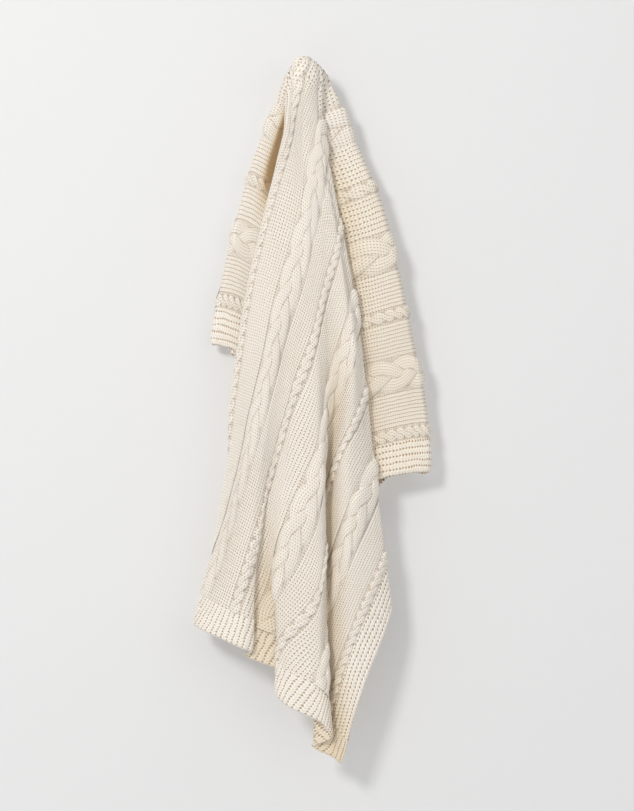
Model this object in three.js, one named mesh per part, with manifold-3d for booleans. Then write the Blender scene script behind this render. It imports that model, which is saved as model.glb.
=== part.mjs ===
// A cable-knit cotton throw, hung over a round wall peg.
//
// The throw is one rectangle of knitting. The peg lifts one point of it, and the rest hangs down in
// folds, so every point of the cloth is given by its distance from the peg and by the angle, in the
// cloth, between its own direction and the front drop's. Each mesh is one ply of that folded bundle.
// Millimetres, +Z up, +X to the viewer's right, the wall on the +Y side, and the peg's top at the origin.

import * as THREE from 'three';
import { mergeVertices } from 'three/addons/utils/BufferGeometryUtils.js';
import Module from 'manifold-3d';

// Driving dimensions of the cloth as it hangs, measured from the peg.
const FRONT_DROP = 1138;
const BACK_DROP = 594;
const LEFT_SIDE = 596;
const RIGHT_SIDE = 848;
const RIB_WIDTH = 62;

// Driving dimensions of the bundle.
const PLY_PITCH = 9;
const PLY_THICKNESS = 6.4;
const FRONT_BULGE = 42;
const FRONT_BACK_FACE = -5;
const BULGE_FULL_AT = 800;
const SEAM_GAP = 0.6;
const LOBE_GAP = 0.004; // share of a lobe left open where the two lobes meet
const BACK_LIFT = 0.1; // share of its length that the back drop is tucked up by
const BUNDLE_TOP = 76;

// The peg, and the pocket that the crown of the throw makes over it.
const PEG_RADIUS = 23;
const CROWN_WALL = 6;
const POCKET_FRONT = -14;
const POCKET_BACK = 46;
const CROWN_DEPTH = BUNDLE_TOP - SEAM_GAP;

const IVORY = 0xe8dfce;

// Distances from the peg at which each fold's sideways lean is stated.
const STATIONS = [60, 150, 300, 450, 600, 800, 1000, 1200, 1440];

// The fold lines in order round the cloth. turn is the angle in the cloth, and lean the fold's angle
// from straight down at each station, both in degrees and positive towards +X.
const FOLDS = {
  leftInner: { turn: -40, lean: [10, 6, 5, 5, 5, 4.5, 4, 3.5, 3] },
  frontLeft: { turn: -2, lean: [-34, -17, -15.4, -14.6, -13.4, -11.1, -10.8, -11.4, -10.6] },
  frontRidge: { turn: 31.5, lean: [2, 1, 5, 3.8, 3.3, 2.8, 2.4, 2.1, 2.5] },
  frontRight: { turn: 50, lean: [38, 14.8, 12.8, 12.2, 11.1, 9.9, 9.2, 8.3, 8] },
  rightInner: { turn: 69, lean: [4, 2, 0, -1, -1, -1, -1, -1, -1] },
  rightFlap: { turn: 100, lean: [52, 37.5, 29, 24, 21.2, 18, 8, 6, 6] },
  backLeft: { turn: 155, lean: [-35, -24, -19, -16, -13, -10, -9, -9, -9] },
  backRight: { turn: 208, lean: [35, 24, 20, 17, 13, 9, 7, 6, 6] },
  leftFlap: { turn: 263, lean: [-48, -33, -26, -22, -18.6, -12, -8, -8, -8] },
};

// Where in the cloth the valley between the two front lobes runs, in degrees.
const VALLEY_TURN = 35;

const radians = THREE.MathUtils.degToRad;

// A fold's lean in radians at a distance from the peg.
function leanOf(fold, reach) {
  const last = STATIONS.length - 1;
  const inside = THREE.MathUtils.clamp(reach, STATIONS[0], STATIONS[last]);
  const next = Math.max(1, STATIONS.findIndex((station) => station >= inside));
  const share = (inside - STATIONS[next - 1]) / (STATIONS[next] - STATIONS[next - 1]);
  return radians(THREE.MathUtils.lerp(fold.lean[next - 1], fold.lean[next], share));
}

// Distance from the peg to the cloth's own edge in a direction of the cloth.
function edgeReach(turn, inset = 0) {
  const across = Math.sin(radians(turn));
  const along = Math.cos(radians(turn));
  const side = (across > 0 ? RIGHT_SIDE : LEFT_SIDE) - inset;
  const end = (along > 0 ? FRONT_DROP : BACK_DROP) - inset;
  return Math.min(side / Math.max(Math.abs(across), 1e-6), end / Math.max(Math.abs(along), 1e-6));
}

// A point of the bundle at a distance from the peg, with a lean and a depth towards the wall.
function hungPoint(reach, lean, depth) {
  return [reach * Math.sin(lean), depth, -reach * Math.cos(lean)];
}

// One closed body from a grid of points on its front face and the same grid on its back face.
function slab(front, back) {
  const rows = front.length;
  const columns = front[0].length;
  const positions = [...front.flat(2), ...back.flat(2)];
  const backStart = rows * columns;
  const triangles = [];
  const quad = (a, b, c, d) => triangles.push(a, b, c, a, c, d);
  for (let row = 0; row < rows - 1; row += 1) {
    for (let column = 0; column < columns - 1; column += 1) {
      const corner = row * columns + column;
      const across = corner + 1;
      const below = corner + columns;
      quad(corner, below, below + 1, across);
      quad(backStart + corner, backStart + across, backStart + below + 1, backStart + below);
    }
  }
  const rim = [];
  for (let column = 0; column < columns - 1; column += 1) rim.push(column);
  for (let row = 0; row < rows - 1; row += 1) rim.push(row * columns + columns - 1);
  for (let column = columns - 1; column > 0; column -= 1) rim.push((rows - 1) * columns + column);
  for (let row = rows - 1; row > 0; row -= 1) rim.push(row * columns);
  rim.forEach((from, index) => {
    const to = rim[(index + 1) % rim.length];
    quad(from, to, backStart + to, backStart + from);
  });
  const geometry = new THREE.BufferGeometry();
  geometry.setAttribute('position', new THREE.Float32BufferAttribute(positions, 3));
  geometry.setIndex(triangles);
  return geometry;
}

// Distance from the peg at which a ply with this share of two folds' leans comes out from the crown.
function topReach(from, to, share) {
  const lean = THREE.MathUtils.lerp(leanOf(from, BUNDLE_TOP), leanOf(to, BUNDLE_TOP), share);
  return BUNDLE_TOP / Math.cos(lean);
}

// The part of a ply between two fold lines. Its columns always run towards +X, so that it faces out.
function plyGeometry({ from, to, span = [0, 1], near, far, frontDepth, backDepth, columns, rows, lift = 0 }) {
  const front = [];
  const back = [];
  for (let row = 0; row <= rows; row += 1) {
    const frontRow = [];
    const backRow = [];
    for (let column = 0; column <= columns; column += 1) {
      const share = THREE.MathUtils.lerp(span[0], span[1], column / columns);
      const turn = THREE.MathUtils.lerp(from.turn, to.turn, share);
      const start = near ? near(turn) : topReach(from, to, share);
      const reach = THREE.MathUtils.lerp(start, far(turn), row / rows);
      const lean = THREE.MathUtils.lerp(leanOf(from, reach), leanOf(to, reach), share);
      const hung = reach - lift * (reach - start);
      frontRow.push(hungPoint(hung, lean, frontDepth(turn, hung)));
      backRow.push(hungPoint(hung, lean, backDepth(turn, hung)));
    }
    front.push(frontRow);
    back.push(backRow);
  }
  return slab(front, back);
}

// A ply that lies flat in the bundle, counted from the front towards the wall.
function flatPly(layer, shape) {
  const middle = layer * PLY_PITCH;
  return plyGeometry({
    far: (turn) => edgeReach(turn),
    frontDepth: () => middle - PLY_THICKNESS / 2,
    backDepth: () => middle + PLY_THICKNESS / 2,
    columns: 8,
    rows: 14,
    ...shape,
  });
}

// How far the front of the throw swells out, from 0 in a fold to 1 on a crest.
function swell(turn) {
  const { frontLeft, frontRidge, frontRight } = FOLDS;
  if (turn <= frontRidge.turn) {
    const share = (turn - frontLeft.turn) / (frontRidge.turn - frontLeft.turn);
    return 0.25 + 0.75 * Math.sin((Math.min(share * 1.6, 1) * Math.PI) / 2);
  }
  if (turn <= VALLEY_TURN) {
    return THREE.MathUtils.lerp(1, 0.2, (turn - frontRidge.turn) / (VALLEY_TURN - frontRidge.turn));
  }
  const share = (turn - VALLEY_TURN) / (frontRight.turn - VALLEY_TURN);
  return 0.2 + 0.7 * Math.sin(share * Math.PI);
}

// A piece of the front drop, swollen on the side away from the wall.
function frontPiece(shape) {
  return plyGeometry({
    frontDepth: (turn, reach) => {
      const grown = THREE.MathUtils.smoothstep(reach, 0, BULGE_FULL_AT);
      return FRONT_BACK_FACE - PLY_THICKNESS - FRONT_BULGE * grown * swell(turn);
    },
    backDepth: () => FRONT_BACK_FACE,
    columns: 12,
    rows: 16,
    ...shape,
  });
}

const ribStart = (turn) => edgeReach(turn, RIB_WIDTH);
const bodyEnd = (turn) => edgeReach(turn, RIB_WIDTH) - SEAM_GAP;
const clothEdge = (turn) => edgeReach(turn);

// manifold-3d only joins and cuts here.
const wasm = await Module();
wasm.setup();

function toSolid(geometry) {
  const bare = new THREE.BufferGeometry();
  bare.setAttribute('position', geometry.getAttribute('position'));
  bare.setIndex(geometry.getIndex());
  const merged = mergeVertices(bare);
  return new wasm.Manifold(new wasm.Mesh({
    numProp: 3,
    vertProperties: new Float32Array(merged.getAttribute('position').array),
    triVerts: new Uint32Array(merged.getIndex().array),
  }));
}

function toGeometry(solid) {
  const { numProp, vertProperties, triVerts } = solid.getMesh();
  const geometry = new THREE.BufferGeometry();
  const positions = [];
  for (let at = 0; at < vertProperties.length; at += numProp) {
    positions.push(...vertProperties.slice(at, at + 3));
  }
  geometry.setAttribute('position', new THREE.Float32BufferAttribute(positions, 3));
  geometry.setIndex([...triVerts]);
  return geometry;
}

// An arch over the peg's stem, with a round end: radius, end of the stem, and how far it reaches down.
function archSolid(radius, frontEnd, backEnd, bottom) {
  const length = backEnd - frontEnd;
  const middle = (frontEnd + backEnd) / 2;
  const centre = -PEG_RADIUS;
  const stem = new THREE.CylinderGeometry(radius, radius, length, 32);
  stem.translate(0, middle, centre);
  const tip = new THREE.SphereGeometry(radius, 32, 20);
  tip.translate(0, frontEnd, centre);
  const skirt = new THREE.BoxGeometry(2 * radius, length, centre - bottom);
  skirt.translate(0, middle, (centre + bottom) / 2);
  const nose = new THREE.CylinderGeometry(radius, radius, centre - bottom, 32);
  nose.rotateX(Math.PI / 2);
  nose.translate(0, frontEnd, (centre + bottom) / 2);
  return toSolid(stem).add(toSolid(tip)).add(toSolid(skirt)).add(toSolid(nose));
}

// The room that the front drop swings through: all that is further than the crown's depth from the peg.
function swingRoom() {
  const size = 4 * CROWN_DEPTH;
  const block = new THREE.BoxGeometry(size, size, size);
  block.translate(0, -size / 2, -size / 2);
  const kept = new THREE.CylinderGeometry(CROWN_DEPTH, CROWN_DEPTH, 2 * size, 96);
  kept.rotateZ(Math.PI / 2);
  return toSolid(block).subtract(toSolid(kept));
}

// The top of the throw, which cups the peg and is open towards the wall and downwards.
function crownGeometry() {
  const outside = archSolid(PEG_RADIUS + CROWN_WALL, POCKET_FRONT, POCKET_BACK, -CROWN_DEPTH);
  const inside = archSolid(PEG_RADIUS, POCKET_FRONT, POCKET_BACK + 1, -CROWN_DEPTH - 1);
  return toGeometry(outside.subtract(inside).subtract(swingRoom()));
}

function piece(name, geometry) {
  const cotton = new THREE.MeshStandardMaterial({ name, color: IVORY, roughness: 0.95, metalness: 0 });
  const mesh = new THREE.Mesh(geometry, cotton);
  mesh.name = name;
  return mesh;
}

function frontDrop(folds) {
  const { frontLeft, frontRidge, frontRight } = folds;
  const left = { from: frontLeft, to: frontRidge, span: [0, 1 - LOBE_GAP] };
  const right = { from: frontRidge, to: frontRight, span: [LOBE_GAP, 1] };
  return [
    piece('front_left_lobe', frontPiece({ ...left, far: bodyEnd })),
    piece('front_left_hem', frontPiece({ ...left, near: ribStart, far: clothEdge, rows: 3 })),
    piece('front_right_lobe', frontPiece({ ...right, far: bodyEnd })),
    piece('front_right_border', frontPiece({ ...right, near: ribStart, far: clothEdge, rows: 3 })),
  ];
}

function sidePlies(folds) {
  const { frontRight, rightInner, rightFlap, frontLeft, leftInner, leftFlap } = folds;
  const leftFlapInFront = { turn: leftFlap.turn - 360, lean: leftFlap.lean };
  const right = { from: rightInner, to: rightFlap };
  const left = { from: leftFlapInFront, to: leftInner };
  const rib = { near: ribStart, far: clothEdge, rows: 3 };
  return [
    piece('right_inner_pleat', flatPly(1, { from: rightInner, to: frontRight })),
    piece('right_flap', flatPly(2, { ...right, far: bodyEnd })),
    piece('right_flap_border', flatPly(2, { ...right, ...rib })),
    piece('left_inner_pleat', flatPly(3, { from: frontLeft, to: leftInner })),
    piece('left_flap', flatPly(4, { ...left, far: bodyEnd })),
    piece('left_flap_border', flatPly(4, { ...left, ...rib })),
  ];
}

function backDrop(folds) {
  const { rightFlap, backLeft, backRight, leftFlap } = folds;
  return [
    piece('back_drop_inner', flatPly(5, { from: backLeft, to: rightFlap, lift: BACK_LIFT })),
    piece('back_drop_middle', flatPly(6, { from: backLeft, to: backRight, lift: BACK_LIFT })),
    piece('back_drop_outer', flatPly(7, { from: leftFlap, to: backRight, lift: BACK_LIFT })),
  ];
}

const throwBlanket = new THREE.Group();
throwBlanket.name = 'throw_blanket';
throwBlanket.add(piece('crown', crownGeometry()));
throwBlanket.add(...frontDrop(FOLDS), ...sidePlies(FOLDS), ...backDrop(FOLDS));

export default throwBlanket;
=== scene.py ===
"""A cable-knit cotton throw hung over a round wall peg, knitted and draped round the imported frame.

The throw is one rectangle of knitting. Every point of it is known by how far it is to the right of
the peg (across) and how far down the front drop (along), measured in the cloth as it hangs. The
drape turns those two numbers into a place in space, and the relief of the knitting stands on it.
In the drape a point is also known by its way from the peg (reach) and its angle round it (turn).
Metres, +Z up, +X to the viewer's right, the wall on the +Y side, and the peg's top at the origin.
"""
import math

import bmesh
import bpy
import numpy as np
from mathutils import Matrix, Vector


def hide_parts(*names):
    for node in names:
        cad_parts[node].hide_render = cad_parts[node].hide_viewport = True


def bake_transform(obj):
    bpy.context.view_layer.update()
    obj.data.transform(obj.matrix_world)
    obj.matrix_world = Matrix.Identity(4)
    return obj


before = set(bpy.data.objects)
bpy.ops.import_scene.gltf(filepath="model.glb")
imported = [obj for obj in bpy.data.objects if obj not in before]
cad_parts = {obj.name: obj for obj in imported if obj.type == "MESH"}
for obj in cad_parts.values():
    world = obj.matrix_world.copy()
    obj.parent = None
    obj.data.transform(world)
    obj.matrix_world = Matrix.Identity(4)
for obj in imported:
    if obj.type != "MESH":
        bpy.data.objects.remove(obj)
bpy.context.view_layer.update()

bl_info = {
    "name": "Cable-Knit Throw",
    "version": (1, 0, 0),
    "blender": (4, 5, 0),
    "location": "3D View > Sidebar > Throw",
    "description": "Knits and drapes a cable-knit throw over a wall peg",
    "category": "Add Mesh",
}

# The cloth as it hangs, from the peg to each of its edges.
FRONT_DROP = 1.138
BACK_DROP = 0.594
LEFT_SIDE = 0.596
RIGHT_SIDE = 0.848
RIB_WIDTH = 0.062
RELAXED = 1 / 1.137  # knitting hangs longer than it lies

# Where the cables stand, across the cloth.
CABLE_SPACING = 0.128
ROPES = [2 * CABLE_SPACING * step for step in range(-2, 4)]
PLAITS = [CABLE_SPACING * (2 * step - 1) for step in range(-1, 4)]
BACK_SPLIT = -0.174  # along the cloth, past which the knitting only shows from behind

# The depth of each ply of the bundle, from the front towards the wall. The front swells out from its
# own ply by up to SWELL, in full from SWELL_REACH on.
PLY_GAP = 0.009
PLY = [PLY_GAP * layer for layer in range(8)]
FRONT_PLY = -PLY_GAP
SWELL = 0.042
SWELL_REACH = 0.8

FIRST_TURN = -97  # the fold of the left flap, from where turns are counted on round the peg

# The cap of cloth over the peg. The cloth is gathered unevenly, so CAP_FACINGS says which way each of
# CAP_TURNS faces. The cap passes into the folds sideways and down over the reaches in CAP_ENDS, and in
# depth over those in NOSE_ENDS.
CAP_RADIUS = 0.033
CAP_TOP = 0.008
CAP_ARC = 0.045
CAP_FRONT = 0.037
CAP_BACK = 0.048
CAP_TURNS = [FIRST_TURN, -30, 15, 68, 104, 180, FIRST_TURN + 360]
CAP_FACINGS = [-105, -72, 5, 74, 105, 180, 255]
CAP_ENDS = (0.012, 0.060)
NOSE_ENDS = (0.030, 0.170)

# Distances from the peg at which the guide lines are stated.
STATIONS = [0.03, 0.06, 0.10, 0.15, 0.30, 0.45, 0.60, 0.70, 0.80, 1.00, 1.20, 1.44]

# Guide lines down the cloth, in order round the peg. turn is the guide's angle in the cloth, and lean
# its angle from straight down, in degrees at each station and positive towards +X. fold says that the
# cloth turns back there, and on which side of the bundle, and layers are the plies before and after it.
# On the front, swell is the share of the full swell that the guide stands out by at each station.
GUIDES = {
    "left_inner": {
        "turn": [-60, -60, -53, -46, -40, -40, -40, -40, -40, -40, -40, -40],
        "lean": [-25, -6, 2, 6, 9, 9.8, 9.5, 9, 8.5, 8, 7, 6.5],
        "fold": "right", "layers": (4, 3),
    },
    "front_left": {
        "turn": [-30, -30, -22, -14, -4, -2, -2, -1, 1, 5, 8.5, 9],
        "lean": [-66, -38, -24, -17.3, -15.4, -14.6, -13.4, -12.4, -11.1, -10.8, -11.4, -10.6],
        "fold": "left", "layers": (3, "front"), "swell": [0.1] * 12,
    },
    "left_shoulder": {
        "turn": [-8, -8, -4, 0, 5, 6, 7, 8, 9.5, 11.5, 12.5, 13],
        "lean": [-34, -22, -15, -11, -11, -10.6, -9.1, -8.8, -8.4, -8.4, -8.2, -7.8],
        "swell": [0.5, 0.5, 0.5, 0.5, 0.6, 0.6, 0.6, 0.62, 0.65, 0.7, 0.7, 0.7],
    },
    "left_fold_front": {
        "turn": [3, 3, 6.5, 10, 14.2, 14.2, 14.2, 14.2, 14.2, 14.4, 14.6, 15],
        "lean": [-20, -13, -9.5, -7.2, -4.4, -5.2, -5.5, -5.8, -6.3, -6.6, -6.2, -6],
        "swell": [0.8, 0.8, 0.8, 0.8, 0.85, 0.85, 0.85, 0.88, 0.92, 1, 1, 1],
    },
    "left_fold_side": {
        "turn": [6, 6, 9, 12, 15.8, 15.8, 15.8, 15.8, 15.8, 15.8, 16, 16.4],
        "lean": [-16, -10.2, -8, -6.5, -3.4, -4.2, -4.7, -5.1, -5.5, -5.5, -5.1, -5.1],
        "swell": [0.8, 0.8, 0.82, 0.85, 0.88, 0.88, 0.85, 0.82, 0.76, 0.66, 0.62, 0.6],
    },
    "left_dip_side": {
        "turn": [9, 9, 11.8, 14.5, 17.5, 17.5, 17.5, 17.5, 17.5, 17.5, 17.6, 18],
        "lean": [-12, -7.8, -6.5, -5.6, -2.2, -3.1, -4, -4.4, -4.8, -5.4, -5.6, -5.6],
        "swell": [0.85, 0.85, 0.88, 0.9, 0.9, 0.9, 0.85, 0.78, 0.64, 0.4, 0.3, 0.3],
    },
    "left_dip": {
        "turn": [12, 12, 14.5, 17, 19, 19, 19, 19, 19, 19, 19.4, 19.8],
        "lean": [-8, -5.4, -5, -4.6, -1.2, -2.2, -3.3, -3.8, -4.2, -4.4, -3.9, -3.9],
        "swell": [0.9, 0.9, 0.91, 0.92, 0.92, 0.9, 0.86, 0.8, 0.66, 0.36, 0.24, 0.24],
    },
    "lobe_tuck": {
        "turn": [14, 14, 16, 18, 20, 20, 20, 20, 20, 20, 22, 22],
        "lean": [-6, -4, -4.2, -4, -0.5, -1.5, -2.8, -3.3, -3.7, -3.8, -0.8, -0.6],
        "swell": [0.92, 0.92, 0.93, 0.93, 0.93, 0.92, 0.89, 0.86, 0.76, 0.5, 0.34, 0.34],
    },
    "lobe_side": {
        "turn": [16, 16, 17.8, 19.5, 21, 21, 21, 21, 21, 21.2, 25.6, 25.8],
        "lean": [-4, -2.8, -3.4, -3.5, 0.2, -0.9, -2.3, -2.8, -3.1, -3.4, -2.7, -2.7],
        "swell": [0.93, 0.93, 0.94, 0.95, 0.94, 0.94, 0.92, 0.9, 0.88, 0.74, 0.62, 0.62],
    },
    "left_lobe": {
        "turn": [18.5, 18.5, 20, 21.5, 22, 22, 22, 22, 22, 22.6, 27.2, 27.4],
        "lean": [-2, -1.5, -2.5, -3, 0.9, -0.3, -1.9, -2.4, -2.6, -2.5, -1.9, -1.9],
        "swell": [0.95, 0.95, 0.96, 0.97, 0.95, 0.95, 0.95, 0.96, 0.98, 0.98, 0.95, 0.9],
    },
    "ridge": {
        "turn": [28, 28, 28.2, 28.5, 29, 28.5, 27.8, 27.6, 27.5, 28.8, 30.2, 31.2],
        "lean": [9, 5.8, 3.6, 2, 4, 2.6, 2.2, 2.1, 2, 1.8, 1.4, 1.8],
        "swell": [1, 1, 1, 1, 0.97, 0.95, 0.97, 1.05, 1.1, 1.1, 1.1, 1],
    },
    "ridge_side": {
        "turn": [31.5, 31.5, 31.8, 32, 32, 31.8, 31.2, 31, 30.8, 32, 32.8, 33.1],
        "lean": [14, 8.4, 6, 4, 5.6, 4.2, 3.6, 3.1, 2.8, 2.4, 2.1, 2.4],
        "swell": [1, 1, 0.99, 0.98, 0.93, 0.88, 0.82, 0.74, 0.64, 0.62, 0.62, 0.62],
    },
    "valley_side": {
        "turn": [34.5, 34.5, 34.8, 35, 35, 34.8, 34.4, 33.9, 33.4, 34.1, 34.5, 34.5],
        "lean": [19, 10.6, 7.8, 5.4, 6.9, 5.6, 4.8, 3.5, 2.2, 1.6, 1.1, 0.75],
        "swell": [0.95, 0.95, 0.94, 0.94, 0.88, 0.76, 0.6, 0.4, 0.26, 0.24, 0.28, 0.34],
    },
    "valley": {
        "turn": [38, 38, 38, 38, 38, 37.8, 37.2, 36.7, 36.4, 36.4, 36.2, 36],
        "lean": [26, 13, 9.5, 7, 8.4, 7.2, 6.2, 5, 3.2, 2.4, 1.8, 2.4],
        "swell": [0.9, 0.9, 0.9, 0.9, 0.84, 0.7, 0.5, 0.22, 0.04, 0, 0.05, 0.2],
    },
    "right_lobe": {
        "turn": [52, 52, 49, 46, 43, 43, 43, 43, 43, 43, 41.5, 38],
        "lean": [45, 22, 14, 10.5, 10.5, 9.8, 9.3, 7.6, 6, 5.5, 4.6, 3.6],
        "swell": [0.6, 0.6, 0.65, 0.7, 0.7, 0.75, 0.8, 0.8, 0.8, 0.8, 0.8, 0.7],
    },
    "front_right": {
        "turn": [68, 68, 64, 60, 50, 50, 50, 50, 50, 50, 49, 46],
        "lean": [75, 34, 20.5, 14.8, 12.8, 12.2, 11.1, 10.5, 9.9, 9.2, 8.8, 8],
        "fold": "right", "layers": ("front", 1), "swell": [0.1] * 12,
    },
    "right_inner": {
        "turn": [84, 84, 79, 74, 69, 69, 69, 69, 69, 69, 69, 69],
        "lean": [30, 16, 8, 4, 0, -1, -1, -1, -1, -1, -1, -1],
        "fold": "left", "layers": (1, 2),
    },
    "right_flap": {
        "turn": [104, 104, 103, 102, 100, 100, 100, 100, 100, 100, 100, 100],
        "lean": [88, 54, 42.6, 35.2, 29.2, 24.2, 21.3, 20.1, 18.4, 14, 10, 9],
        "fold": "right", "layers": (2, 5),
    },
    "back_left": {
        "turn": [155] * 12,
        "lean": [-70, -38, -32, -28, -22, -18, -15, -13.5, -12, -10.5, -9, -9],
        "fold": "left", "layers": (5, 6),
    },
    "back_right": {
        "turn": [208] * 12,
        "lean": [70, 38, 32, 28, 22, 19, 15, 13, 10, 7, 6, 6],
        "fold": "right", "layers": (6, 7),
    },
    "left_flap": {
        "turn": [263] * 12,
        "lean": [-78, -50, -38, -33.2, -26, -22, -18.8, -15, -12, -9, -9, -9],
        "fold": "left", "layers": (7, 4),
    },
}

# How the cloth goes round a fold: the fold's radius, the most turn it takes up to each side, and how
# much narrower than its own width the cloth is there.
FOLD_RADIUS = 0.008
WIDEST_FOLD_TURN = 5.0
BULK = 0.6

# The give of the knitting: the right flap sags, the left flap and the tip of the front drop are drawn
# up, and the back drop is tucked up by a share of its reach past TUCK_START. Here and below, turns and
# reaches in pairs are the middle and half-width of a bump, or the two ends of a slope.
RIGHT_SAG = 0.026
RIGHT_SAG_REACH = 0.74
RIGHT_SAG_TURNS = (92, 34)
LEFT_DRAW = 0.014
LEFT_DRAW_REACHES = (0.44, 0.24)
LEFT_DRAW_TURNS = ((-92, 30), (268, 30))
TIP_DRAW = 0.013
TIP_REACHES = (1.25, 1.42)
TIP_TURNS = (26, 34)
TUCK_START = 0.08
RIGHT_TUCK = 0.066
RIGHT_TUCK_TURNS = (100, 109)
LEFT_TUCK = 0.03
LEFT_TUCK_TURNS = (((236, 248), (255, 263)), ((195, 240), (253, 263)))
MIDDLE_TUCK = 0.05
MIDDLE_TUCK_TURNS = (182, 60)

# The right flap lies a little forward of its ply where it shows.
FLAP_FORWARD = 0.010
FLAP_FORWARD_TURNS = (92, 12)
FLAP_FORWARD_REACHES = (0.1, 0.3)

# Slow waves of the hung cloth: height, how fast they run across and along, and where they start.
WAVES = (
    (0.0022, 11.0, 5.0, 0.4),
    (0.0016, -17.0, 9.0, 2.1),
    (0.0012, 23.0, 21.0, 4.0),
    (0.0008, 41.0, -13.0, 1.2),
)
WAVES_REACHES = (0.05, 0.4)

# The crumpling of the plies behind the front drop: its height, how fast it runs across, how it
# wanders down the cloth, and where it is: from CRUMPLE_BACK on behind the peg, and at CRUMPLE_TURNS.
CRUMPLE = 0.0045
CRUMPLE_PACE = 95
CRUMPLE_WANDER = 3.5
CRUMPLE_WANDER_PACE = 9
CRUMPLE_BACK = (0.05, 0.2)
CRUMPLE_TURNS = (-52, 36)

# Painted shade in folds so deep that light only comes off other yarn, which the material tints warmer
# and, past 1, darker: how deep, over which turns, and over which reaches they deepen and end.
BELOW_ALL = (2, 3)
PAINTED_FOLD_SHADES = {
    "valley": (1, (36.2, 5.5), (0.45, 0.85), BELOW_ALL),
    "left_lobe_fold": (0.8, (19.2, 3.6), (0.85, 1.1), BELOW_ALL),
    "beside_right_flap": (1.25, (79, 12), (0.08, 0.2), BELOW_ALL),
    "right_flap": (0.3, (93, 14), (0.1, 0.3), BELOW_ALL),
    "beside_left_flap": (2.6, (-78, 10), (0.03, 0.07), (0.2, 0.36)),
}

# The relief of the knitting, in metres or as shares of a stitch, a cable or a rib.
STITCH_SLANT = 1.1  # how many rows a leg climbs from the middle of its column
LEG_RISE = 0.3
HOLE_DEPTH = 0.7
KNIT_REACHES = (0.0, 0.20)  # over which the stitches come up from the smooth crown
DRAWN_IN = 0.22
DRAWN_REACHES = (0.04, 0.42)
DITCH_DEPTH = 0.0009
DITCH_WIDTH = 0.008
ROPE_SWING = 0.215
ROPE_LIFT = 0.0014
ROPE_STRAND = 0.25
PLAIT_SWING = 0.27
PLAIT_LIFT = 0.0024
PLAIT_STRAND = 0.22
STRAND_RELIEF = 0.4
LOWEST_STRAND = -0.0006
# How far under the top strand the next one may lie for painted shade in the creases.
CREASE_HEIGHT = 0.0014
SIDE_ROWS = 1.7  # how much taller a row is in the side borders
RIB_NOTCH = 0.4
RIB_ROUNDING = 0.8
EDGE_ROLL = 0.004
EDGE_ROLL_WIDTH = 0.008
RIB_THICKNESS = 0.0045

# How finely each kind of strip is divided: faces to a stitch, or the step across and along.
GROUND_FACES = {"front": 3, "back": 2}
CABLE_STEPS = {"front": (0.0018, 0.0018), "back": (0.0030, 0.0030)}
SIDE_RIB_STEP = (0.002, 0.0024)
HEM_RIB_STEP = (0.0021, 0.0024)

# The body strips end at the hems, and BACK_SPLIT parts them into a front and a back length.
BODY_RUNS = {
    "front": (BACK_SPLIT, FRONT_DROP - RIB_WIDTH),
    "back": (RIB_WIDTH - BACK_DROP, BACK_SPLIT),
}
FRONT_NODES = ("front_left_lobe", "front_right_lobe")
BACK_NODES = ("back_drop_inner", "back_drop_middle", "back_drop_outer")
FLAP_NODES = ("right_flap", "left_flap", "right_inner_pleat", "left_inner_pleat", "crown")

# The yarn's finish and its painted shade: how deep the stitches of each yarn look, in bump and in
# painted shade, the scales of the noise, how many stitches they stray, the roundness and height of the
# plies, and how much darker and warmer the painted shade makes the hollows, creases and deep folds.
STITCH_DEPTHS = {"ground_yarn": 1.0, "cable_yarn": 0.8, "rib_yarn": 0.9}
UNEVEN_SCALE = 70.0
COLUMN_STRAY = 0.55
ROW_STRAY = 0.8
FIBRE_SCALE = 900.0
FIBRE_HEIGHT = 0.35
PATCH_SCALE = 14.0
LEG_ROUNDING = 0.7
LOOP_ROUNDING = 0.5
LOOP_HEIGHT = 0.45
HOLE_SHADE_STRENGTH = 2
ROW_SEAM_SHADE = 0.30
LEG_SEAM_SHADE = 0.20
CREASE_SHADE = 0.42
UNLIT_SHADE = 0.8
DARKEST_SHADE = 0.95
FOLD_SHADE_TINT = 0.85
BUMP_STRENGTH = 0.55
BUMP_HEIGHT = 0.0016
ROUGHNESS = 0.92
YARN_POLISH = 0.08
SPECULAR = 0.12
SHEEN = 0.25
SHEEN_ROUGHNESS = 0.6

# The stage.
CAMERA_TARGET = (0.024, -0.02, -0.687)
CAMERA_AWAY = 4.0
CAMERA_LENS = 88.8
WALL_BEHIND = 0.079
WALL_HALF = 5.0
FLOOR_BELOW = 1.75
FLOOR_HALF = 8.0
WORLD_LIGHT = 0.67
LAMPS = {
    "key": {
        "place": (-2.1, -4.0, 1.5), "target": (0, 0, -0.6),
        "size": 0.95, "power": 104, "tint": (1.0, 0.985, 0.965),
    },
    "fill": {
        "place": (2.2, -2.8, -0.2), "target": (0, 0, -0.6),
        "size": 2.4, "power": 9, "tint": (0.97, 0.985, 1.0),
    },
    "behind": {
        "place": (-0.8, 2.6, 0.6), "target": (0, 0, -0.5),
        "size": 2.0, "power": 40, "tint": (1, 1, 1),
    },
}


# --- the drape ---------------------------------------------------------------------------------

def smoothstep(value, low, high):
    """A smooth slope from 0 at low to 1 at high."""
    share = np.clip((value - low) / (high - low), 0, 1)
    return share * share * (3 - 2 * share)


def plateau(value, up, down):
    """1 between two slopes, given by their ends, and 0 outside them."""
    return smoothstep(value, *up) * (1 - smoothstep(value, *down))


def bump(value, middle, half_width):
    """1 at the middle, falling smoothly to 0 at half_width to each side."""
    share = np.clip(np.abs(value - middle) / half_width, 0, 1)
    return (1 - share * share) ** 2


def end_slope(left_gap, right_gap, left_rise, right_rise):
    """The slope at a key that keeps a cubic between its neighbours, so it never overshoots a fold."""
    total = 2 * right_gap + left_gap
    other = right_gap + 2 * left_gap
    same_way = left_rise * right_rise > 0
    bottom = np.where(same_way, total / np.where(left_rise == 0, 1, left_rise)
                      + other / np.where(right_rise == 0, 1, right_rise), 1)
    return np.where(same_way, (total + other) / bottom, 0)


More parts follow.
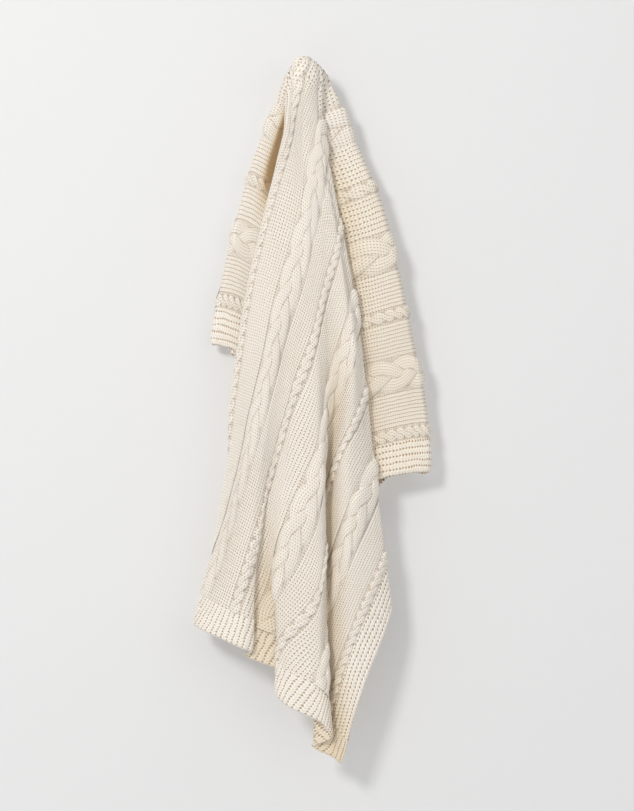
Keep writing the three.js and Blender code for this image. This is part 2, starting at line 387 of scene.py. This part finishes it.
def through_keys(keys, heights, wanted):
    """Reads a smooth curve through keys, each a row of arrays, at the wanted places."""
    count = keys.shape[0]
    after = np.clip((keys <= wanted).sum(axis=0), 2, count - 2)
    column = np.arange(wanted.size)
    x0, x1, x2, x3 = (keys[after + step, column] for step in (-2, -1, 0, 1))
    y0, y1, y2, y3 = (heights[after + step, column] for step in (-2, -1, 0, 1))
    gaps = [np.maximum(b - a, 1e-9) for a, b in ((x0, x1), (x1, x2), (x2, x3))]
    rises = [(b - a) / gap for (a, b), gap in zip(((y0, y1), (y1, y2), (y2, y3)), gaps)]
    start = end_slope(gaps[0], gaps[1], rises[0], rises[1])
    end = end_slope(gaps[1], gaps[2], rises[1], rises[2])
    t = np.clip((wanted - x1) / gaps[1], 0, 1)
    return (y1 * (1 + 2 * t) * (1 - t) ** 2 + gaps[1] * start * t * (1 - t) ** 2
            + y2 * t * t * (3 - 2 * t) + gaps[1] * end * t * t * (t - 1))


FINE_REACH = np.linspace(STATIONS[0], STATIONS[-1], 400)


def along_guide(values):
    """A guide's stated values, read smoothly at every fine reach. They stay level past either end."""
    level = 0.1
    places = np.array([STATIONS[0] - level, *STATIONS, STATIONS[-1] + level])
    heights = np.array([values[0], *values, values[-1]], float)
    spread = np.repeat(places[:, None], FINE_REACH.size, axis=1)
    return through_keys(spread, np.repeat(heights[:, None], FINE_REACH.size, axis=1), FINE_REACH)


GUIDE_LINES = [
    {
        "turn": along_guide(guide["turn"]),
        "lean": np.radians(along_guide(guide["lean"])),
        "swell": along_guide(guide["swell"]) if "swell" in guide else None,
        "fold": guide.get("fold"),
        "layers": guide.get("layers"),
    }
    for guide in GUIDES.values()
]


def layer_depth(layer, reach, swell):
    """The depth of a ply, or of the front, which swells out more the further it hangs."""
    if layer != "front":
        return np.full_like(reach, PLY[layer])
    return FRONT_PLY - SWELL * swell * smoothstep(reach, 0, SWELL_REACH)


def section_keys(reach):
    """The turns, sideways places and depths of the keys of the bundle's cross-section."""
    keys = []
    for line in GUIDE_LINES:
        turn, lean = (np.interp(reach, FINE_REACH, line[name]) for name in ("turn", "lean"))
        side = reach * np.sin(lean)
        swell = 0 if line["swell"] is None else np.interp(reach, FINE_REACH, line["swell"])
        if line["fold"] is None:
            keys.append((turn, side, layer_depth("front", reach, swell)))
            continue
        before, after = (layer_depth(layer, reach, swell) for layer in line["layers"])
        inward = -1 if line["fold"] == "right" else 1
        half = np.minimum(np.degrees(FOLD_RADIUS * math.pi / 2 / (BULK * reach)), WIDEST_FOLD_TURN)
        tucked = side + inward * FOLD_RADIUS
        keys.append((turn - half, tucked, before))
        keys.append((turn, side, (before + after) / 2))
        keys.append((turn + half, tucked, after))
    last = [(turn - 360, side, depth) for turn, side, depth in keys[-4:]]
    first = [(turn + 360, side, depth) for turn, side, depth in keys[:4]]
    return [np.array(row) for row in zip(*last, *keys, *first)]


def cap_point(reach, turn):
    """The smooth cap of cloth over the peg and its stem."""
    facing = np.radians(np.interp(turn, CAP_TURNS, CAP_FACINGS))
    round_it = np.minimum(reach / CAP_ARC, 1) * math.pi / 2
    fallen = (1 - np.cos(round_it)) ** 2
    spread = np.sin(round_it)
    deep = np.where(np.cos(facing) > 0, CAP_FRONT, CAP_BACK)
    return np.stack([
        CAP_RADIUS * spread * np.sin(facing),
        -deep * spread * np.cos(facing),
        CAP_TOP - CAP_RADIUS * fallen - np.maximum(reach - CAP_ARC, 0),
    ])


def stretch(reach, turn):
    """How much further from the peg than its length the cloth hangs, less where it is drawn up."""
    sag = np.sin(math.pi * np.minimum(reach, RIGHT_SAG_REACH) / RIGHT_SAG_REACH)
    sag = RIGHT_SAG * sag * bump(turn, *RIGHT_SAG_TURNS)
    left_flap = sum(bump(turn, *turns) for turns in LEFT_DRAW_TURNS)
    drawn_up = (LEFT_DRAW * bump(reach, *LEFT_DRAW_REACHES) * left_flap
                + TIP_DRAW * smoothstep(reach, *TIP_REACHES) * smoothstep(turn, *TIP_TURNS))
    tuck = (RIGHT_TUCK * smoothstep(turn, *RIGHT_TUCK_TURNS)
            + LEFT_TUCK * sum(plateau(turn, *slopes) for slopes in LEFT_TUCK_TURNS)
            + MIDDLE_TUCK * bump(turn, *MIDDLE_TUCK_TURNS))
    behind = turn > RIGHT_TUCK_TURNS[0]
    return sag - drawn_up - tuck * np.maximum(reach - TUCK_START, 0) * behind


def ripples(across, along, turn):
    """Slow unevenness of the hung cloth, and the crumpling of the plies that are packed in behind."""
    slow = sum(height * np.sin(right * across + down * along + start)
               for height, right, down, start in WAVES)
    wander = CRUMPLE_WANDER * np.sin(CRUMPLE_WANDER_PACE * along)
    packed = np.maximum(smoothstep(-along, *CRUMPLE_BACK), bump(turn, *CRUMPLE_TURNS))
    return slow + CRUMPLE * np.sin(CRUMPLE_PACE * across + wander) * packed


def hang(across, along):
    """Where points of the cloth hang, as an array of three rows."""
    reach = np.maximum(np.hypot(across, along), 1e-5)
    turn = np.degrees(np.arctan2(across, along))
    turn = np.where(turn < FIRST_TURN, turn + 360, turn)
    inside = np.clip(reach, STATIONS[0], STATIONS[-1])
    turns, sides, depths = section_keys(inside)
    scale = reach / inside
    side = through_keys(turns, sides, turn) * scale
    depth = through_keys(turns, depths, turn)
    hung = reach + stretch(reach, turn)
    side = side * hung / reach
    shown_flap = bump(turn, *FLAP_FORWARD_TURNS) * smoothstep(reach, *FLAP_FORWARD_REACHES)
    uneven = ripples(across, along, turn) * smoothstep(reach, *WAVES_REACHES)
    depth = depth - FLAP_FORWARD * shown_flap + uneven
    drop = -np.sqrt(np.maximum(hung * hung - side * side, 0))
    folded = np.stack([side, depth, drop])
    share = smoothstep(reach, *CAP_ENDS)
    share = np.stack([share, smoothstep(reach, *NOSE_ENDS), share])
    return cap_point(reach, turn) * (1 - share) + folded * share


def outward(across, along):
    """The direction that the right side of the knitting faces."""
    step = 0.0008
    right = hang(across + step, along) - hang(across - step, along)
    down = hang(across, along + step) - hang(across, along - step)
    normal = np.cross(down, right, axis=0)
    return normal / np.maximum(np.linalg.norm(normal, axis=0), 1e-12)


def fold_shade_depths(across, along):
    """How far down in a fold the cloth is, for painted shade: tinted warmer up to 1, and past 1 painted
    darker too.
    """
    reach = np.hypot(across, along)
    turn = np.degrees(np.arctan2(across, along))
    return sum(depth * bump(turn, *turns) * plateau(reach, deepens, ends)
               for depth, turns, deepens, ends in PAINTED_FOLD_SHADES.values())


# --- the knitting ------------------------------------------------------------------------------

def wave(value):
    """0 at whole numbers and 1 half-way between them."""
    return 0.5 - 0.5 * np.cos(2 * math.pi * value)


def stockinette(column, row, height):
    """Two slanted legs to each stitch, and a hole between it and the next column."""
    side = np.abs(column - np.floor(column) - 0.5)
    legs = np.sin(2 * math.pi * side) ** 2
    slant = wave(row + STITCH_SLANT * side)
    hole = (2 * side) ** 4 * (1 - slant)
    return height * (legs * (1 - LEG_RISE + LEG_RISE * slant) - HOLE_DEPTH * hole)


def ditches(across, settings):
    """The ground sinks a little beside each cable."""
    edges = [place + way * settings.rope_width / 2 for place in ROPES for way in (-1, 1)]
    edges += [place + way * settings.plait_width / 2 for place in PLAITS for way in (-1, 1)]
    return -DITCH_DEPTH * sum(bump(across, edge, DITCH_WIDTH) for edge in edges)


def drawn_in(across, along):
    """How many times finer the stitches are where the cloth is drawn in over the peg."""
    return 1 + DRAWN_IN * (1 - smoothstep(np.hypot(across, along), *DRAWN_REACHES))


def ground_relief(across, along, settings):
    """The heights of the plain knitting. It has no creases to paint with shade."""
    column, row = plain_map(settings)(across, along)
    height = settings.stitch_relief * smoothstep(np.hypot(across, along), *KNIT_REACHES)
    return stockinette(column, row, height) + ditches(across, settings), np.zeros_like(across)


def strands_at(across, along, middles, heights, half_width, thickness):
    """The top strand's height and number at each point, how far the next one is under it, and how far
    across the strand the point is, from -1 to 1."""
    best = np.full(across.shape, -1.0)
    second = np.full(across.shape, -1.0)
    which = np.zeros(across.shape, int)
    place = np.zeros(across.shape)
    for number, (middle, height) in enumerate(zip(middles(along), heights(along))):
        off = (across - middle) / half_width
        top = height + thickness * np.sqrt(np.maximum(1 - off ** 4, 0))
        top = np.where(np.abs(off) < 1, top, -1.0)
        better = top > best
        second = np.where(better, best, np.maximum(second, top))
        best = np.where(better, top, best)
        which = np.where(better, number, which)
        place = np.where(better, off, place)
    return best, best - second, which, place


def rope_strands(settings):
    """Two strands turning round each other: their sideways places and heights along the rope."""
    swing = settings.rope_width * ROPE_SWING

    def middles(along):
        turn = math.pi * along / settings.rope_pitch
        return [swing * np.cos(turn + start) for start in (0, math.pi)]

    def heights(along):
        turn = math.pi * along / settings.rope_pitch
        return [ROPE_LIFT * np.sin(turn + start) for start in (0, math.pi)]

    return middles, heights, settings.rope_width * ROPE_STRAND, settings.rope_relief


def plait_strands(settings):
    """Three strands that cross over and under in turn."""
    swing = settings.plait_width * PLAIT_SWING
    starts = [2 * math.pi * number / 3 for number in range(3)]

    def middles(along):
        turn = 2 * math.pi * along / (3 * settings.plait_pitch)
        return [swing * np.sin(turn + start) for start in starts]

    def heights(along):
        turn = 2 * math.pi * along / (3 * settings.plait_pitch)
        return [PLAIT_LIFT * np.sin(2 * (turn + start)) for start in starts]

    return middles, heights, settings.plait_width * PLAIT_STRAND, settings.plait_relief


def cable_relief(offset, along, strands, width, settings):
    """The heights of a cable, and the creases where one strand goes under another, for painted shade.
    """
    top, under, _, place = strands_at(offset, along, *strands)
    shoulder = np.clip(1 - (2 * np.abs(offset) / width) ** 4, 0, 1)
    half_width = strands[2]
    column = place * half_width / settings.strand_stitch
    stitches = stockinette(column, along / settings.stitch_height,
                           settings.stitch_relief * STRAND_RELIEF)
    height = (np.maximum(top, LOWEST_STRAND) * shoulder + stitches * shoulder
              - DITCH_DEPTH * (1 - shoulder))
    return height, (1 - smoothstep(under, 0.0, CREASE_HEIGHT)) * shoulder


def from_side(across):
    """How far a point is from the nearer side of the throw."""
    return np.minimum(across + LEFT_SIDE, RIGHT_SIDE - across)


def side_rib_relief(across, along, settings):
    """Ridges that run along the side of the throw."""
    ridges = rib_ridges(from_side(across), along / SIDE_ROWS, settings)
    return ridges + rolled_edge(across, along), np.zeros_like(across)


def end_rib_relief(across, along, settings):
    """Ridges that run up from the end hem."""
    return rib_ridges(across, along, settings) + rolled_edge(across, along), np.zeros_like(across)


def rib_ridges(over, down, settings):
    """Rounded ridges side by side, notched at every row."""
    ridge = np.abs(np.sin(math.pi * over / settings.rib_pitch)) ** RIB_ROUNDING
    rows = 1 - RIB_NOTCH + RIB_NOTCH * wave(down / settings.stitch_height)
    return settings.rib_relief * ridge * rows


def rolled_edge(across, along):
    """The last stitches of the throw roll back a little."""
    inside = np.minimum(from_side(across), np.minimum(along + BACK_DROP, FRONT_DROP - along))
    return -EDGE_ROLL * (1 - np.clip(inside / EDGE_ROLL_WIDTH, 0, 1)) ** 2


def plain_map(settings):
    """Counts the columns and rows of the plain knitting."""
    def count(right, down):
        finer = drawn_in(right, down)
        return right * finer / settings.stitch_width, down * finer / settings.stitch_height
    return count


def strand_map(middle, strands, settings):
    """Each face counts its stitches across the strand that is on top there."""
    def count(right, down):
        centre = right.mean(axis=1), down.mean(axis=1)
        _, _, which, _ = strands_at(centre[0] - middle, centre[1], *strands)
        middles = np.stack(strands[0](down.ravel()))
        corners = down.shape[1]
        chosen = middles[np.repeat(which, corners), np.arange(down.size)].reshape(down.shape)
        finer = drawn_in(right, down)
        column = (right - middle - chosen) * finer / settings.strand_stitch
        return column, down * finer / settings.stitch_height
    return count


def side_rib_map(settings):
    """Counts the ribs in from the side, and the rows down it."""
    def count(right, down):
        return from_side(right) / settings.rib_pitch, down / (SIDE_ROWS * settings.stitch_height)
    return count


def end_rib_map(settings):
    """Counts the ribs along the hem, and the rows down them."""
    def count(right, down):
        return right / settings.rib_pitch, down / settings.stitch_height
    return count


# --- materials ---------------------------------------------------------------------------------

class Number:
    """A shader value that can be used in ordinary sums."""

    def __init__(self, shader, socket):
        self.shader = shader
        self.socket = socket

    def maths(self, operation, *others):
        return self.shader.maths(operation, self, *others)

    def __add__(self, other):
        return self.maths("ADD", other)

    def __sub__(self, other):
        return self.maths("SUBTRACT", other)

    def __rsub__(self, other):
        return self.shader.maths("SUBTRACT", other, self)

    def __mul__(self, other):
        return self.maths("MULTIPLY", other)

    def __pow__(self, other):
        return self.maths("POWER", other)

    __radd__ = __add__
    __rmul__ = __mul__


class Shader:
    """One material's nodes."""

    def __init__(self, name):
        self.material = bpy.data.materials.new(name)
        self.material.use_nodes = True
        self.tree = self.material.node_tree
        self.tree.nodes.clear()

    def node(self, kind, settings=None, **inputs):
        """A node of any kind: its settings first, then the values or links of its sockets."""
        made = self.tree.nodes.new(kind)
        for name, value in (settings or {}).items():
            setattr(made, name, value)
        for name, value in inputs.items():
            self.feed(made.inputs[name.replace("_", " ")], value)
        return made

    def feed(self, socket, value):
        value = value.socket if isinstance(value, Number) else value
        if isinstance(value, bpy.types.NodeSocket):
            self.tree.links.new(value, socket)
        else:
            socket.default_value = value

    def maths(self, operation, *values):
        made = self.tree.nodes.new("ShaderNodeMath")
        made.operation = operation
        for socket, value in zip(made.inputs, values):
            self.feed(socket, value)
        return Number(self, made.outputs[0])

    def mix(self, share, low, high):
        """A colour between two colours. The node's colour sockets come after its other kinds."""
        made = self.node("ShaderNodeMix", {"data_type": "RGBA"})
        for index, value in ((0, share), (6, low), (7, high)):
            self.feed(made.inputs[index], value)
        return made.outputs[2]

    def separate(self, vector):
        made = self.node("ShaderNodeSeparateXYZ", Vector=vector)
        return [Number(self, socket) for socket in made.outputs[:2]]

    def attribute(self, name):
        made = self.node("ShaderNodeAttribute", {"attribute_name": name})
        return Number(self, made.outputs["Fac"])

    def noise(self, vector, scale, detail=2.0):
        made = self.node("ShaderNodeTexNoise", Vector=vector, Scale=scale, Detail=detail)
        return Number(self, made.outputs[0])


def opaque(colour):
    """A colour with its alpha, as sockets take it."""
    return (*colour, 1.0)


def yarn_material(name, settings):
    """The yarn of that name, made once."""
    return bpy.data.materials.get(name) or knit_material(name, settings)


def knit_material(name, settings):
    """Cotton yarn: stitches read from the stitch map, plied fibres, and painted shade in hollows and
    folds.
    """
    stitch_depth = STITCH_DEPTHS[name]
    shader = Shader(name)
    stitches = shader.node("ShaderNodeUVMap", {"uv_map": "Stitches"}).outputs[0]
    places = shader.node("ShaderNodeTexCoord").outputs["Object"]
    fibres = shader.noise(places, FIBRE_SCALE, detail=3.0)
    patches = shader.noise(places, PATCH_SCALE)
    crease_shade = shader.attribute("crease_shade")
    depths = shader.attribute("depths")

    uneven = shader.noise(places, UNEVEN_SCALE) - 0.5
    column, row = shader.separate(stitches)
    column, row = column + uneven * COLUMN_STRAY, row + uneven * ROW_STRAY
    side = (column.maths("FRACT") - 0.5).maths("ABSOLUTE")
    leg = (side * (2 * math.pi)).maths("SINE").maths("ABSOLUTE")
    slant = (row + side * STITCH_SLANT).maths("FRACT")
    loop = (slant * math.pi).maths("SINE")
    yarn = leg ** LEG_ROUNDING * (loop ** LOOP_ROUNDING * LOOP_HEIGHT + (1 - LOOP_HEIGHT))

    # Painted shade: the holes between stitches, the seams between loops and legs, the creases under
    # crossing strands and the unlit bottoms of deep folds are painted darker, towards the hollow shade
    # colour.
    hole = ((side * 2) ** 4 * (1 - loop) * HOLE_SHADE_STRENGTH).maths("MINIMUM", 1)
    seam_shade = (1 - loop) ** 2 * ROW_SEAM_SHADE + (1 - leg) ** 2 * LEG_SEAM_SHADE
    unlit = (depths - 1).maths("MAXIMUM", 0) * UNLIT_SHADE
    painted_shade = hole * stitch_depth + seam_shade * stitch_depth + crease_shade * CREASE_SHADE + unlit
    painted_shade = painted_shade.maths("MINIMUM", DARKEST_SHADE)
    # Painted shade: deep folds are tinted warmer, towards the fold shade colour.
    fold_shade_share = (depths * FOLD_SHADE_TINT).maths("MINIMUM", 1)
    base = shader.mix(patches, opaque(settings.yarn_colour), opaque(settings.yarn_warm))
    base = shader.mix(fold_shade_share, base, opaque(settings.fold_shade_colour))
    tint = shader.mix(painted_shade, base, opaque(settings.hollow_shade_colour))

    raised = shader.node("ShaderNodeBump", Strength=BUMP_STRENGTH * stitch_depth,
                         Distance=BUMP_HEIGHT, Height=yarn + fibres * FIBRE_HEIGHT)
    surface = shader.node(
        "ShaderNodeBsdfPrincipled", Base_Color=tint, Normal=raised.outputs[0],
        Roughness=ROUGHNESS - yarn * YARN_POLISH, Specular_IOR_Level=SPECULAR,
        Sheen_Weight=SHEEN, Sheen_Roughness=SHEEN_ROUGHNESS)
    shader.node("ShaderNodeOutputMaterial", Surface=surface.outputs[0])
    return shader.material


def paint_material(name, settings, one_sided=False):
    """Matt paint for the wall and floor. One-sided paint is clear from behind."""
    shader = Shader(name)
    surface = shader.node("ShaderNodeBsdfDiffuse", Color=opaque(settings.wall_colour))
    if one_sided:
        paint = surface
        surface = shader.node("ShaderNodeMixShader")
        behind = shader.node("ShaderNodeNewGeometry").outputs["Backfacing"]
        clear = shader.node("ShaderNodeBsdfTransparent")
        for index, value in enumerate((behind, paint.outputs[0], clear.outputs[0])):
            shader.feed(surface.inputs[index], value)
    shader.node("ShaderNodeOutputMaterial", Surface=surface.outputs[0])
    return shader.material


# --- making pieces -----------------------------------------------------------------------------

def knitted_strip(name, span, run, step, relief, stitch_map, material, nodes):
    """A strip of the throw, from its span across and its run along, with the relief of its stitches."""
    columns = max(2, round((span[1] - span[0]) / step[0]))
    rows = max(2, round((run[1] - run[0]) / step[1]))
    shape = bmesh.new()
    bmesh.ops.create_grid(shape, x_segments=columns, y_segments=rows, size=1)
    mesh = bpy.data.meshes.new(name)
    shape.to_mesh(mesh)
    shape.free()
    places = np.empty(len(mesh.vertices) * 3, np.float32)
    mesh.vertices.foreach_get("co", places)
    places = places.reshape(-1, 3).astype(float)
    across = span[0] + (places[:, 0] + 1) / 2 * (span[1] - span[0])
    along = run[0] + (places[:, 1] + 1) / 2 * (run[1] - run[0])
    height, crease_shade = relief(across, along)
    points = hang(across, along) + outward(across, along) * height
    mesh.vertices.foreach_set("co", points.T.astype(np.float32).ravel())
    lay_stitch_map(mesh, across, along, stitch_map)
    # The mark of the creases says where the material paints shade under crossing strands.
    mark(mesh, "crease_shade", crease_shade)
    # The depths mark says how deep in a fold the material paints shade.
    mark(mesh, "depths", fold_shade_depths(across, along))
    mesh.polygons.foreach_set("use_smooth", np.ones(len(mesh.polygons), bool))
    mesh.flip_normals()
    mesh.materials.append(material)
    mesh.update()
    piece = bpy.data.objects.new(name, mesh)
    bpy.context.scene.collection.objects.link(piece)
    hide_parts(*nodes)
    return piece


def lay_stitch_map(mesh, across, along, stitch_map):
    """The stitch map counts stitches across and rows along, face by face."""
    corners = np.empty(len(mesh.loops), np.int32)
    mesh.loops.foreach_get("vertex_index", corners)
    right, down = across[corners].reshape(-1, 4), along[corners].reshape(-1, 4)
    column, row = stitch_map(right, down)
    places = np.stack([column.ravel(), row.ravel()], axis=1).astype(np.float32)
    layer = mesh.uv_layers.new(name="Stitches")
    layer.data.foreach_set("uv", places.ravel())


def mark(mesh, name, values):
    """A number at each vertex, which the materials read by its name."""
    marks = mesh.attributes.new(name, "FLOAT", "POINT")
    marks.data.foreach_set("value", values.astype(np.float32))


def declare(piece, span, run):
    """Bakes the finished piece's transform into its mesh. Its flat size is reckoned but not used."""
    width, length = span[1] - span[0], run[1] - run[0]
    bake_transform(piece)
    width * RELAXED
    length * RELAXED


def thicken(piece):
    """The edges of the throw show how thick the knitting is."""
    wall = piece.modifiers.new("thickness", "SOLIDIFY")
    wall.thickness = RIB_THICKNESS
    wall.offset = -1
    wall.use_even_offset = False


def cable_strips(kind, middles, width, strands, settings):
    """Every cable of a kind, each in a front and a back length."""
    material = yarn_material("cable_yarn", settings)
    for number, middle in enumerate(middles, 1):
        span = (middle - width / 2, middle + width / 2)
        for part, run in BODY_RUNS.items():
            piece = knitted_strip(
                f"{kind}_{number}_{part}", span, run, CABLE_STEPS[part],
                lambda right, down: cable_relief(right - middle, down, strands, width, settings),
                strand_map(middle, strands, settings), material,
                FRONT_NODES if part == "front" else BACK_NODES)
            declare(piece, span, run)


class ThrowSettings(bpy.types.PropertyGroup):
    """Sizes of the stitches and cables, and the colours."""

    stitch_width: bpy.props.FloatProperty(
        name="Stitch width", description="Width of one knit column", default=0.008, unit="LENGTH")
    strand_stitch: bpy.props.FloatProperty(
        name="Strand stitch", description="Width of one column in a cable", default=0.0062,
        unit="LENGTH")
    stitch_height: bpy.props.FloatProperty(
        name="Row height", description="Height of one knit row", default=0.0058, unit="LENGTH")
    stitch_relief: bpy.props.FloatProperty(
        name="Stitch relief", description="How far a stitch stands up", default=0.0012, unit="LENGTH")
    rope_width: bpy.props.FloatProperty(
        name="Rope width", description="Width of a rope cable", default=0.030, unit="LENGTH")
    rope_pitch: bpy.props.FloatProperty(
        name="Rope pitch", description="Length of half a turn of a rope", default=0.026, unit="LENGTH")
    rope_relief: bpy.props.FloatProperty(
        name="Rope relief", description="Thickness of a rope's strand", default=0.0034, unit="LENGTH")
    plait_width: bpy.props.FloatProperty(
        name="Plait width", description="Width of a plaited cable", default=0.076, unit="LENGTH")
    plait_pitch: bpy.props.FloatProperty(
        name="Plait pitch", description="Length between like crossings", default=0.078, unit="LENGTH")
    plait_relief: bpy.props.FloatProperty(
        name="Plait relief", description="Thickness of a plait's strand", default=0.0046, unit="LENGTH")
    rib_pitch: bpy.props.FloatProperty(
        name="Rib pitch", description="Distance between ribs", default=0.0124, unit="LENGTH")
    rib_relief: bpy.props.FloatProperty(
        name="Rib relief", description="How far a rib stands up", default=0.0029, unit="LENGTH")
    yarn_colour: bpy.props.FloatVectorProperty(
        name="Yarn", description="Colour of the cotton", subtype="COLOR", size=3,
        default=(0.95, 0.91, 0.84))
    yarn_warm: bpy.props.FloatVectorProperty(
        name="Warm yarn", description="Colour of the warmer patches", subtype="COLOR", size=3,
        default=(0.93, 0.875, 0.78))
    # The colour that deep folds are tinted towards, as painted shade.
    fold_shade_colour: bpy.props.FloatVectorProperty(
        name="Folds", description="Colour deep in a fold", subtype="COLOR", size=3,
        default=(0.82, 0.70, 0.51))
    # The colour that holes, seams and creases between the stitches are painted towards, as shade.
    hollow_shade_colour: bpy.props.FloatVectorProperty(
        name="Hollows", description="Colour deep between the stitches", subtype="COLOR", size=3,
        default=(0.33, 0.20, 0.09))
    wall_colour: bpy.props.FloatVectorProperty(
        name="Wall", description="Colour of the wall and floor", subtype="COLOR", size=3,
        default=(0.765, 0.765, 0.768))


class THROW_OT_ground(bpy.types.Operator):
    """Knit the plain panels between the cables"""

    bl_idname = "throw.ground"
    bl_label = "Plain ground"
    bl_options = {"REGISTER", "UNDO"}

    def execute(self, context):
        settings = context.scene.throw_settings
        cables = [(place, settings.rope_width) for place in ROPES]
        cables += [(place, settings.plait_width) for place in PLAITS]
        edges = []
        for place, width in sorted(cables):
            edges += [place - width / 2, place + width / 2]
        material = yarn_material("ground_yarn", settings)
        for number, span in enumerate(zip(edges[1:-1:2], edges[2:-1:2]), 1):
            for part, run in BODY_RUNS.items():
                faces = GROUND_FACES[part]
                step = (settings.stitch_width / faces, settings.stitch_height / faces)
                piece = knitted_strip(
                    f"ground_{number}_{part}", span, run, step,
                    lambda right, down: ground_relief(right, down, settings),
                    plain_map(settings), material,
                    (*FRONT_NODES, *FLAP_NODES) if part == "front" else BACK_NODES)
                declare(piece, span, run)
        return {"FINISHED"}


class THROW_OT_ropes(bpy.types.Operator):
    """Knit the narrow two-strand rope cables"""

    bl_idname = "throw.ropes"
    bl_label = "Rope cables"
    bl_options = {"REGISTER", "UNDO"}

    def execute(self, context):
        settings = context.scene.throw_settings
        cable_strips("rope", ROPES, settings.rope_width, rope_strands(settings), settings)
        return {"FINISHED"}


class THROW_OT_plaits(bpy.types.Operator):
    """Knit the wide three-strand plaited cables"""

    bl_idname = "throw.plaits"
    bl_label = "Plaited cables"
    bl_options = {"REGISTER", "UNDO"}

    def execute(self, context):
        settings = context.scene.throw_settings
        cable_strips("plait", PLAITS, settings.plait_width, plait_strands(settings), settings)
        return {"FINISHED"}


class THROW_OT_ribs(bpy.types.Operator):
    """Knit the ribbed side borders and end hems"""

    bl_idname = "throw.ribs"
    bl_label = "Rib borders"
    bl_options = {"REGISTER", "UNDO"}

    def execute(self, context):
        settings = context.scene.throw_settings
        material = yarn_material("rib_yarn", settings)
        half_rope = settings.rope_width / 2
        body = (RIB_WIDTH - BACK_DROP, FRONT_DROP - RIB_WIDTH)
        sides = {
            "left": ((-LEFT_SIDE, ROPES[0] - half_rope), ["left_flap_border"]),
            "right": ((ROPES[-1] + half_rope, RIGHT_SIDE), ["right_flap_border", "front_right_border"]),
        }
        for side, (span, nodes) in sides.items():
            piece = knitted_strip(
                f"{side}_side_rib", span, body, SIDE_RIB_STEP,
                lambda right, down: side_rib_relief(right, down, settings),
                side_rib_map(settings), material, nodes)
            thicken(piece)
            declare(piece, span, body)
        whole = (-LEFT_SIDE, RIGHT_SIDE)
        ends = {
            "front": ((FRONT_DROP - RIB_WIDTH, FRONT_DROP), ["front_left_hem", "front_right_border"]),
            "back": ((-BACK_DROP, RIB_WIDTH - BACK_DROP), ["back_drop_outer"]),
        }
        for end, (run, nodes) in ends.items():
            piece = knitted_strip(
                f"{end}_hem_rib", whole, run, HEM_RIB_STEP,
                lambda right, down: end_rib_relief(right, down, settings),
                end_rib_map(settings), material, nodes)
            thicken(piece)
            declare(piece, whole, run)
        return {"FINISHED"}


# --- the stage ---------------------------------------------------------------------------------

def place_in_scene(name, data, place):
    holder = bpy.data.objects.new(name, data)
    bpy.context.scene.collection.objects.link(holder)
    holder.location = place
    return holder


def aim(holder, target):
    direction = Vector(target) - holder.location
    holder.rotation_euler = direction.to_track_quat("-Z", "Y").to_euler()


def area_lamp(name, place, target, size, power, tint):
    lamp = bpy.data.lights.new(name, "AREA")
    lamp.shape = "SQUARE"
    lamp.size = size
    lamp.energy = power
    lamp.color = tint
    aim(place_in_scene(name, lamp, place), target)


def stage_plane(name, material, half, place):
    shape = bmesh.new()
    bmesh.ops.create_grid(shape, x_segments=1, y_segments=1, size=half)
    mesh = bpy.data.meshes.new(name)
    shape.to_mesh(mesh)
    shape.free()
    mesh.materials.append(material)
    holder = place_in_scene(name, mesh, place)
    return holder


class THROW_OT_stage(bpy.types.Operator):
    """Set up the wall, floor, lamps and camera"""

    bl_idname = "throw.stage"
    bl_label = "Stage"
    bl_options = {"REGISTER", "UNDO"}

    def execute(self, context):
        settings = context.scene.throw_settings
        self.camera(context.scene)
        self.wall(settings)
        stage_plane("floor", paint_material("floor_paint", settings), FLOOR_HALF, (0, 0, -FLOOR_BELOW))
        for name, lamp in LAMPS.items():
            area_lamp(name, **lamp)
        self.world(context.scene)
        context.scene.view_settings.view_transform = "Standard"
        return {"FINISHED"}

    def camera(self, scene):
        lens = bpy.data.cameras.new("camera")
        lens.lens = CAMERA_LENS
        right, deep, up = CAMERA_TARGET
        scene.camera = place_in_scene("camera", lens, (right, deep - CAMERA_AWAY, up))
        aim(scene.camera, CAMERA_TARGET)

    def wall(self, settings):
        """A pale wall that only shows from its front, so the back of the throw can be seen too."""
        paint = paint_material("wall_paint", settings, one_sided=True)
        holder = stage_plane("wall", paint, WALL_HALF, (0, WALL_BEHIND, 0))
        holder.rotation_euler = (math.pi / 2, 0, 0)
        holder.visible_shadow = False
        holder.visible_diffuse = False

    def world(self, scene):
        scene.world = bpy.data.worlds.new("studio")
        scene.world.use_nodes = True
        background = scene.world.node_tree.nodes["Background"]
        background.inputs["Color"].default_value = (1, 1, 1, 1)
        background.inputs["Strength"].default_value = WORLD_LIGHT


# --- the add-on --------------------------------------------------------------------------------

class THROW_PT_panel(bpy.types.Panel):
    """The throw's sizes, colours and pieces"""

    bl_idname = "THROW_PT_panel"
    bl_label = "Cable-Knit Throw"
    bl_space_type = "VIEW_3D"
    bl_region_type = "UI"
    bl_category = "Throw"

    def draw(self, context):
        for name in ThrowSettings.__annotations__:
            self.layout.prop(context.scene.throw_settings, name)
        for operator in OPERATORS:
            self.layout.operator(operator.bl_idname)


OPERATORS = (THROW_OT_stage, THROW_OT_ground, THROW_OT_ropes, THROW_OT_plaits, THROW_OT_ribs)
CLASSES = (ThrowSettings, *OPERATORS, THROW_PT_panel)


def register():
    for made in CLASSES:
        bpy.utils.register_class(made)
    bpy.types.Scene.throw_settings = bpy.props.PointerProperty(type=ThrowSettings)


def unregister():
    del bpy.types.Scene.throw_settings
    for made in reversed(CLASSES):
        bpy.utils.unregister_class(made)


def main():
    register()
    bpy.ops.throw.stage()
    bpy.ops.throw.ground()
    bpy.ops.throw.ropes()
    bpy.ops.throw.plaits()
    bpy.ops.throw.ribs()


if __name__ == "__main__":
    main()
